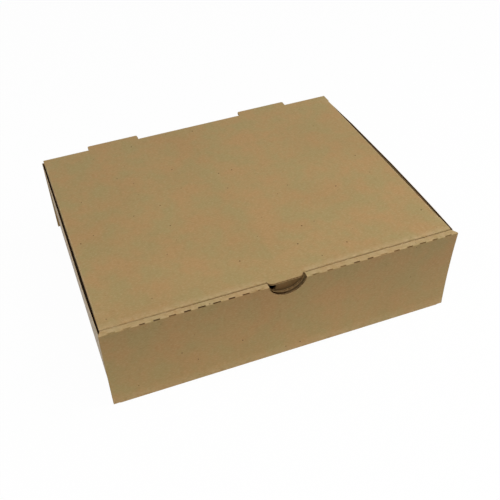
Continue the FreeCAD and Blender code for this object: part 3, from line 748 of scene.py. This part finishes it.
# Lid: tuck flap, front fold, panel and the two tabs behind the crease, in one section, and the
# lip, which stays level with the panel in front of the fold.
def makeLidSheets():
    section = foldedSection([(lidFront + lid["tuckLean"], topFace - lid["tuckDepth"]), (lidFront, topFace),
                             (rearFace + tabLength, topFace)])
    end, (foldStart, foldEnd) = section["end"], section["arcs"][0]
    slant = np.hypot(lid["tuckLean"], lid["tuckDepth"]) / lid["tuckDepth"]
    holeFoot = foldStart - (lid["lipLength"] - board["foldRadius"]) * slant
    step, anchor = foldStart - lid["tuckStep"], halfTuck - lid["tuckAnchor"]
    gapLeft, gapRight = lid["gapSides"]
    gapFoot = foldStart - lid["gapDepth"]
    shadeIn, shadeOut = lid["shadeHalf"]
    shadeSteps = foldStart - np.array(lid["shadeDepth"])

    # Row of a depth on the panel: end - (tab's end - depth).
    def rowAt(depth):
        return end - (rearFace + tabLength - depth)

    crease, frontEar, rearEar = rowAt(rearFace - lid["hingeReach"]), rowAt(earFrontEnd), rowAt(earRearEnd)
    rows = spread(0, end, [*section["steps"], cornerSteps(lid["tuckCorner"]), holeFoot, step, crease,
                           frontEar, rearEar, gapFoot + cornerSteps(lid["gapRound"], 5), shadeSteps,
                           end - cornerSteps(lid["tabRound"], 4)])
    mirroredEnds = np.array([*tabEnds, halfLip, halfPanel, anchor, shadeIn, shadeOut])
    columns = spread(-halfRaw, halfRaw, [mirroredEnds, -mirroredEnds, lid["gapSides"]])

    def keep(along, across):
        side = np.abs(across)
        hole = (side < halfLip) & (along > holeFoot) & (along < foldEnd)
        inGap = (across > gapLeft) & (across < gapRight) & (along > gapFoot) & (along < foldStart)
        besideTabs = (along > crease) & ((side < tabEnds[0]) | (side > tabEnds[1]))
        ear = (side > halfPanel) & (along > frontEar) & (along < rearEar)
        return ~(hole | inGap | besideTabs | ear)

    # The corners of the tuck flap, the relief cut and the tabs are pulled in to their rounds.
    def warp(along, across):
        tuckLimit = halfTuck - cornerPull(along, lid["tuckCorner"])
        limit = np.interp(along, [step, foldStart], [halfTuck, halfRaw])
        limit = np.where(along < step, tuckLimit, limit)
        closed = closeUp(np.abs(across), anchor, halfRaw, limit)
        inGap = (along > gapFoot - touch) & (along < foldStart)
        gapPull = np.where(inGap, cornerPull(along - gapFoot, lid["gapRound"]), 0)
        inwards = (np.abs(across - gapLeft) < touch) * 1.0 - (np.abs(across - gapRight) < touch)
        side = np.where(np.abs(across) < anchor, np.abs(across + gapPull * inwards), closed)
        pull = cornerPull(end - along, lid["tabRound"]) * (along > crease + touch)
        nearOuter = np.clip(1 - (tabEnds[1] - side) / lid["tabAnchor"], 0, 1)
        nearInner = np.clip(1 - (side - tabEnds[0]) / lid["tabAnchor"], 0, 1)
        return along, np.sign(across) * (side + pull * (nearInner - nearOuter))

    def joint(along, across):
        side = np.abs(across)
        toEar = (np.abs(side - halfPanel) < touch) & (along > frontEar) & (along < rearEar)
        return toEar | ((np.abs(along - foldEnd) < touch) & (side < halfLip))

    # Pale along the fold beside the lip, partly a painted highlight, and a painted shade where the notch
    # bares the flap.
    def tone(along, across):
        side = np.abs(across)
        bared = np.clip((shadeOut - side) / (shadeOut - shadeIn), 0, 1) * (along < foldStart + touch)
        bared = bared * np.clip((along - shadeSteps[1]) / (shadeSteps[0] - shadeSteps[1]), 0, 1)
        plain = np.clip((side - halfLip) / lid["lipFade"], 0, 1)
        return foldMask(section)(along, across) * plain - lid["tuckShade"] * bared

    sheet = boardPart(flatSheet(rows, columns, keep, warp), sheetSurface(section, "yzx"), "along",
                      joint=joint, origin=lid["flutes"], tone=tone)

    joinDepth = float(np.interp(foldEnd, section["along"], section["outer"][:, 0]))
    lipSection = foldedSection([(lidFront - lid["lipLength"], topFace), (joinDepth, topFace)])
    lipEnd, (rowStep, columnStep) = lipSection["end"], lid["lipCell"]
    lipRows = spread(0, lipEnd, [cornerSteps(lid["lipRound"], 7)], rowStep)
    lipColumns = spread(-halfLip, halfLip, [columns], columnStep)

    def lipWarp(along, across):
        limit = halfLip - cornerPull(along, lid["lipRound"])
        side = closeUp(np.abs(across), halfLip - lid["lipAnchor"], halfLip, limit)
        return along, np.sign(across) * side

    lip = boardPart(flatSheet(lipRows, lipColumns, warp=lipWarp), sheetSurface(lipSection, "yzx"), "along",
                    joint=lambda along, across: along > lipEnd - touch,
                    origin=foldEnd - lipEnd + lid["flutes"])
    return [turned(skewed(part, lidFront, handled["skewLid"])) for part in (sheet, lip)]


# The lid's side ears: a section from the ear's lower edge over its fold to the panel, with
# both lower corners pulled in to their rounds.
def makeEars():
    section = foldedSection([(-halfLid + lid["earLean"], topFace - lid["earDepth"]), (-halfLid, topFace),
                             (-halfPanel, topFace)])
    end = section["end"]
    rows = spread(0, end, [*section["steps"], cornerSteps(lid["earCorner"])])
    frontAnchor, rearAnchor = earFrontEnd + lid["earAnchor"], earRearEnd - lid["earAnchor"]
    columns = spread(earFrontEnd, earRearEnd, [frontAnchor, rearAnchor])

    def warp(along, across):
        pull = cornerPull(along, lid["earCorner"])
        across = closeUp(across, rearAnchor, earRearEnd, earRearEnd - pull)
        return along, -closeUp(-across, -frontAnchor, -earFrontEnd, -earFrontEnd - pull)

    sheet, parts = flatSheet(rows, columns, warp=warp), []
    for mirrored in (False, True):
        part = boardPart(sheet, sheetSurface(section, "xzy", mirrored=mirrored), "across",
                         joint=lambda along, across: along > end - touch, origin=lid["earFlutes"],
                         tone=foldMask(section))
        parts.append(turned(part, held=handled["lidShift"]))
    return parts


hinge = {
    "radius": 0.9,           # of the paper round the corner
    "angles": 9,
    "patternAt": 180.0,      # where the strip lies on the paper's pattern
}


# The outer paper over the hinge crease: a strip, one liner thick, from the rear wall round the
# corner to the lid, on a grid of arc steps and columns, in three lengths between the windows.
def makeHingePaper(materials):
    reach, radius = lid["hingeReach"], hinge["radius"]
    angles = np.linspace(0, np.pi / 2, hinge["angles"])
    arc = np.array([rearFace, topFace]) - radius + radius * np.stack([np.cos(angles), np.sin(angles)], axis=1)
    outer = np.concatenate([[[rearFace, topFace - reach]], arc, [[rearFace - reach, topFace]]])
    ahead = unit(np.gradient(outer, axis=0))
    ahead[0], ahead[-1] = (0, 1), (-1, 0)
    inner = outer - board["liner"] * np.stack([ahead[:, 1], -ahead[:, 0]], axis=1)
    loop = np.concatenate([outer, inner[::-1]])
    distance = np.concatenate([[0], np.cumsum(np.linalg.norm(np.diff(outer, axis=0), axis=1))])
    pattern = np.concatenate([distance, distance[::-1]]) + hinge["patternAt"]
    size = len(loop)
    ring, up = np.arange(size), np.arange(len(outer) - 1)
    after = (ring + 1) % size
    cap = np.stack([up, size - 1 - up, size - 2 - up, up + 1], axis=-1)
    innerEnd, outerEnd = windowEnds
    places, faces, sheets, base = [], [], [], 0
    for left, right in ((-halfRaw, -outerEnd), (-innerEnd, innerEnd), (outerEnd, halfRaw)):
        columns = spread(left, right)
        grid = np.empty((len(columns), size, 3))
        grid[..., 0] = columns[:, None] - handled["lidShift"]
        grid[..., 1:] = loop
        here = base + np.arange(len(columns) - 1)[:, None] * size
        sides = np.stack([here + ring, here + after, here + size + after, here + size + ring], axis=-1)
        faces += [sides.reshape(-1, 4), base + cap, base + (len(columns) - 1) * size + cap[:, ::-1]]
        places.append(grid.reshape(-1, 3))
        flat = np.stack(np.broadcast_arrays(grid[..., 0], pattern), axis=-1)
        sheets.append(flat.reshape(-1, 2))
        base += len(columns) * size
    places, faces, sheets = (np.concatenate(items) for items in (places, faces, sheets))
    # The whole strip lies on the crease, so all of it is pale, partly a painted highlight.
    part = {"places": places, "faces": faces, "kinds": np.zeros(len(faces), int),
            "wearAndPaintedLight": np.ones(len(places)), "sheet": sheets}
    paper = makePiece("hingePaper", [part], materials[:1])
    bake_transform(paper)
    return paper


class Value:
    # A socket with Python's operators: each one adds its Math node.
    def __init__(self, nodes, socket):
        self.nodes, self.socket = nodes, socket

    def maths(self, operation, *terms):
        return self.nodes.add("ShaderNodeMath", {"operation": operation}, dict(enumerate(terms)))

    def __add__(self, other):
        return self.maths("ADD", self, other)

    def __radd__(self, other):
        return self.maths("ADD", other, self)

    def __sub__(self, other):
        return self.maths("SUBTRACT", self, other)

    def __rsub__(self, other):
        return self.maths("SUBTRACT", other, self)

    def __mul__(self, other):
        return self.maths("MULTIPLY", self, other)

    def __rmul__(self, other):
        return self.maths("MULTIPLY", other, self)

    def larger(self, other):
        return self.maths("MAXIMUM", self, other)

    def clipped(self):
        return self.maths("MINIMUM", self.larger(0.0), 1.0)


class Nodes:
    # The emptied node tree of a material or world. Its nodes come from one method, by type,
    # settings, and then the values or links of sockets, and it gives the outputs asked for.
    def __init__(self, owner):
        owner.use_nodes = True
        self.owner, self.tree = owner, owner.node_tree
        self.tree.nodes.clear()

    def add(self, kind, settings=None, sockets=None, out=0):
        node = self.tree.nodes.new(kind)
        for key, item in (settings or {}).items():
            setattr(node, key, item)
        for key, item in (sockets or {}).items():
            if isinstance(item, Value):
                self.tree.links.new(item.socket, node.inputs[key])
            else:
                node.inputs[key].default_value = item
        if isinstance(out, tuple):
            return [Value(self, node.outputs[name]) for name in out]
        return Value(self, node.outputs[out]) if len(node.outputs) else None


# Linear value of a colour written from 0 to 255: ((c + 0.055) / 1.055) ^ 2.4, or c / 12.92
# where it is nearly black.
def paint(*levels):
    share = np.array(levels, float) / 255
    linear = np.where(share <= 0.04045, share / 12.92, ((share + 0.055) / 1.055) ** 2.4)
    return tuple(float(level) for level in linear) + (1.0,)


# Noise over a place, at a number of repeats per metre, stretched by a scale along each axis.
def noise(nodes, place, repeats, detail, roughness, stretch=(1.0, 1.0, 1.0)):
    place = nodes.add("ShaderNodeMapping", None, {"Vector": place, "Scale": stretch})
    return nodes.add("ShaderNodeTexNoise", {"noise_dimensions": "2D"},
                     {"Vector": place, "Scale": repeats, "Detail": detail, "Roughness": roughness})


# Noise made a mask: (noise - level) * gain, held between 0 and 1, times its strength.
def mask(nodes, place, pattern):
    repeats, detail, roughness, level, gain, strength = pattern
    return ((noise(nodes, place, repeats, detail, roughness) - level) * gain).clipped() * strength


# A mask of sparse round specks: in the cells whose random number passes a limit,
# ((number - limit) * growth - distance from the middle) * edge, times its strength.
def specks(nodes, place, start, repeats, limit, growth, strength):
    place = nodes.add("ShaderNodeMapping", None, {"Vector": place, "Location": start})
    colour, away = nodes.add("ShaderNodeTexVoronoi", {"voronoi_dimensions": "2D"},
                             {"Vector": place, "Scale": repeats}, out=("Color", "Distance"))
    number = nodes.add("ShaderNodeSeparateColor", None, {0: colour})
    return (((number - limit) * growth - away) * kraft["speckEdge"]).clipped() * strength


# A colour that goes from the first to the second by a share, or is multiplied by it.
def blend(nodes, share, first, second, kind="MIX"):
    return nodes.add("ShaderNodeMix", {"data_type": "RGBA", "blend_type": kind},
                     {0: share, 6: first, 7: second}, out=2)


kraft = {
    "warm": paint(170, 137, 92),
    "cool": paint(160, 140, 94),
    "deep": paint(143, 114, 72),
    # pale crease paper, partly a painted highlight on the folds
    "fold": paint(187, 162, 123),
    "speck": paint(88, 62, 36),
    "fleck": paint(205, 184, 148),
    # painted shade: the share of the light left in the cuts, between the front plies, towards the front
    # panel's top and on the tuck flap behind the notch
    "slit": (0.22, 0.11, 0.03, 1.0),        # share of the light left in a cut
    "roughness": 0.6,        # where the grain is at 0, and what it adds
    "roughGrain": 0.12,
    "gloss": 0.12,           # specular level of uncoated paper
    "sheen": 0.35,           # pale fibres seen edge on
    "sheenRoughness": 0.3,
    "clouds": (38.0, 3.0, 0.6, 1 / 3, 3.0, 1.0),        # patterns, in the order that mask takes
    "blotches": (210.0, 2.0, 0.6, 0.46, 2.2, 0.3),
    "broad": (13.0, 2.0, 0.5, 0.4, 2.0, 0.2),
    "worn": (160.0, 3.0, 0.7, 0.7 / 2.4, 2.4, 0.6),
    "grain": (900.0, 2.0, 0.6, (0.45, 1.0, 1.0)),       # and in the order that noise does
    "ripple": (70.0, 2.0, 0.5),
    "fibreGain": 1.6,
    "fibreStrength": 0.35,
    "specks": (((0.0, 0.0, 0.0), 78.0, 0.78, 0.3, 0.85), ((0.31, 0.17, 0.0), 190.0, 0.8, 0.3, 0.35)),
    "speckEdge": 60.0,
    "flecks": ((0.11, 0.57, 0.0), 78.0, 0.93, 0.4, 0.5),
    "relief": (0.6, 0.12, 1.5),     # of the grain, the flutes and the ripple
    "bump": 0.35,
    "bumpHeight": 0.00012,
}


# Kraft paper: cloudy between two tones, darker blotches, a fibre grain along the sheet, sparse
# specks, pale creases, partly a painted highlight, where the per-point tone is above 0 and
# painted shade where it is below; its bump is the grain, a faint ridge over each flute,
# sin(2 pi v / pitch), and a slow ripple.
def makeKraftPaper():
    nodes = Nodes(bpy.data.materials.new("kraftPaper"))
    place = nodes.add("ShaderNodeUVMap", {"uv_map": "sheet"})
    wearAndPaintedLight = nodes.add("ShaderNodeAttribute", {"attribute_name": "wearAndPaintedLight"}, out="Fac")
    grain = noise(nodes, place, *kraft["grain"])
    gain, strength = kraft["fibreGain"], kraft["fibreStrength"]
    layers = [(mask(nodes, place, kraft["blotches"]) + mask(nodes, place, kraft["broad"]), "deep"),
              (((grain - 0.5) * gain).clipped() * strength, "deep"),
              (((0.5 - grain) * gain).clipped() * strength, "fleck")]
    layers += [(specks(nodes, place, *shape), "speck") for shape in kraft["specks"]]
    # pale creases, partly a painted highlight, broken up by the worn pattern
    layers += [(specks(nodes, place, *kraft["flecks"]), "fleck"),
               (wearAndPaintedLight.clipped() * mask(nodes, place, kraft["worn"]), "fold")]
    colour = blend(nodes, mask(nodes, place, kraft["clouds"]), kraft["warm"], kraft["cool"])
    for share, tone in layers:
        colour = blend(nodes, share, colour, kraft[tone])
    # painted shade where the per-point tone is below 0
    colour = blend(nodes, (0.0 - wearAndPaintedLight).clipped(), colour, kraft["slit"], "MULTIPLY")
    crossing = nodes.add("ShaderNodeSeparateXYZ", None, {0: place}, out="Y")
    phase = crossing * (2 * np.pi / (board["pitch"] * millimetre))
    ridge = phase.maths("SINE", phase)
    fine, fluted, slow = kraft["relief"]
    height = grain * fine + ridge * fluted + noise(nodes, place, *kraft["ripple"]) * slow
    bump = nodes.add("ShaderNodeBump", None, {"Height": height, "Strength": kraft["bump"],
                                              "Distance": kraft["bumpHeight"]})
    paper = nodes.add("ShaderNodeBsdfPrincipled", None, {
        "Base Color": colour, "Roughness": grain * kraft["roughGrain"] + kraft["roughness"],
        "Specular IOR Level": kraft["gloss"], "Sheen Weight": kraft["sheen"],
        "Sheen Roughness": kraft["sheenRoughness"], "Normal": bump})
    nodes.add("ShaderNodeOutputMaterial", None, {"Surface": paper})
    return nodes.owner


cutBoard = {
    "tones": {               # light and dark
        "cutLiner": (paint(190, 160, 115), paint(150, 120, 78)),
        "flutedMedium": (paint(160, 127, 82), paint(116, 87, 52)),
        # painted shadow: near black for the depth of the open flutes
        "paintedFluteShadow": (paint(20, 12, 6), paint(14, 8, 4)),
        # painted shade: dark for the side walls' raw edges, which lie in shadow beside the lid
        "paintedShadeWallEdge": (paint(44, 28, 14), paint(30, 19, 9)),
    },
    "grain": (700.0, 2.0, 0.6, 0.35, 2.0, 1.0),
    "roughness": 0.9,
    "gloss": 0.2,
}


# Cut board: one tone darkened by a fine noise.
def makeCutBoard(name):
    nodes = Nodes(bpy.data.materials.new(name))
    place = nodes.add("ShaderNodeUVMap", {"uv_map": "sheet"})
    colour = blend(nodes, mask(nodes, place, cutBoard["grain"]), *cutBoard["tones"][name])
    paper = nodes.add("ShaderNodeBsdfPrincipled", None, {
        "Base Color": colour, "Roughness": cutBoard["roughness"], "Specular IOR Level": cutBoard["gloss"]})
    nodes.add("ShaderNodeOutputMaterial", None, {"Surface": paper})
    return nodes.owner


materials = [makeKraftPaper()] + [makeCutBoard(name) for name in cutBoard["tones"]]
print("materials ready")

trayParts = [makeFrontSheet(), makeRearSheet(), makeBaseAndSides(), *makeCornerFlaps()]
trayPiece = makePiece("trayBoard", trayParts, materials, "tray")
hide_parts("tray")
lidPiece = makePiece("lidBoard", makeLidSheets() + makeEars(), materials, "lid")
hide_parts("lid")
makeHingePaper(materials)
print("pieces ready")

view = {
    "azimuth": -17.138,      # degrees round from the front, to the right
    "elevation": 42.944,
    "roll": -3.730,
    "place": (-169.92, -496.74, 479.42),
    "lens": 52.53,
    "sensor": 36.0,
    "shift": (0.06, 0.04),
    "clip": (0.01, 50.0),
}


# The camera looks along minus its own z axis; its axes are built from the two angles and
# turned about the line of sight by the roll.
def makeCamera():
    azimuth, height, roll = np.radians([view["azimuth"], view["elevation"], view["roll"]])
    back = np.array([np.sin(azimuth) * np.cos(height), -np.cos(azimuth) * np.cos(height), np.sin(height)])
    right = unit(np.cross((0, 0, 1), back))
    up = np.cross(back, right)
    turnedRight = np.cos(roll) * right + np.sin(roll) * up
    turnedUp = np.cos(roll) * up - np.sin(roll) * right
    camera = bpy.data.cameras.new("camera")
    camera.lens, camera.sensor_width = view["lens"], view["sensor"]
    camera.shift_x, camera.shift_y = view["shift"]
    camera.clip_start, camera.clip_end = view["clip"]
    holder = bpy.data.objects.new("camera", camera)
    matrix = Matrix(np.stack([turnedRight, turnedUp, back], axis=1).tolist()).to_4x4()
    matrix.translation = Vector(view["place"]) * millimetre
    holder.matrix_world = matrix
    bpy.context.scene.collection.objects.link(holder)
    bpy.context.scene.camera = holder


light = {
    "white": (1.0, 1.0, 1.0, 1.0),
    "ambient": 0.3,
    "lamps": [               # place, size, power, colour
        ((0.55, -0.2, 0.8), 0.6, 4.3, (1.0, 1.0, 1.0)),
        ((-0.5, -0.5, 0.8), 0.6, 2.7, (1.0, 1.0, 1.0)),
        ((0.0, -0.25, 1.0), 0.8, 1.55, (1.0, 1.0, 1.0)),
        ((0.0, -0.75, 0.12), 0.24, 0.36, (1.0, 0.9, 0.6)),
    ],
    "floorHalf": 3.0,
    "floorWhite": 0.97,      # share of plain white that the camera sees on the floor
    "floorColour": (0.9, 0.9, 0.9, 1.0),
    "floorRoughness": 0.9,
}


# A dim even light all round, and plain white where the camera, a gloss or a clear thing sees
# it: the largest of the three kinds of ray mixes the two.
def makeWorld():
    world = bpy.data.worlds.new("studio")
    bpy.context.scene.world = world
    nodes = Nodes(world)
    seen, glossy, clear = nodes.add("ShaderNodeLightPath", out=(
        "Is Camera Ray", "Is Glossy Ray", "Is Transmission Ray"))
    dim, bright = (nodes.add("ShaderNodeBackground", None, {"Color": light["white"], "Strength": strength})
                   for strength in (light["ambient"], 1.0))
    mixed = nodes.add("ShaderNodeMixShader", None, {0: seen.larger(glossy).larger(clear), 1: dim, 2: bright})
    nodes.add("ShaderNodeOutputWorld", None, {"Surface": mixed})


# Soft square lamps, each turned towards the origin.
def makeLamps():
    for number, (place, size, power, colour) in enumerate(light["lamps"]):
        area = bpy.data.lights.new(f"softbox{number}", "AREA")
        area.energy, area.size, area.color = power, size, colour
        lamp = bpy.data.objects.new(f"softbox{number}", area)
        lamp.location = place
        lamp.rotation_euler = (-Vector(place)).to_track_quat("-Z", "Y").to_euler()
        bpy.context.scene.collection.objects.link(lamp)


# The floor: pale, and nearly plain white to the camera, which still sees the shadow on it.
def makeFloor():
    half = light["floorHalf"]
    mesh = bpy.data.meshes.new("floor")
    mesh.from_pydata([(-half, -half, 0), (half, -half, 0), (half, half, 0), (-half, half, 0)], [],
                     [(0, 1, 2, 3)])
    floor = bpy.data.objects.new("floor", mesh)
    nodes = Nodes(bpy.data.materials.new("paleFloor"))
    real = nodes.add("ShaderNodeBsdfPrincipled", None, {
        "Base Color": light["floorColour"], "Roughness": light["floorRoughness"]})
    plain = nodes.add("ShaderNodeEmission", None, {"Color": light["white"], "Strength": 1.0})
    seen = nodes.add("ShaderNodeLightPath", out="Is Camera Ray")
    mixed = nodes.add("ShaderNodeMixShader", None, {0: seen * light["floorWhite"], 1: real, 2: plain})
    nodes.add("ShaderNodeOutputMaterial", None, {"Surface": mixed})
    mesh.materials.append(nodes.owner)
    bpy.context.scene.collection.objects.link(floor)


makeCamera()
makeWorld()
makeLamps()
makeFloor()
bpy.context.scene.view_settings.view_transform = "Standard"
print("camera, light and floor ready")
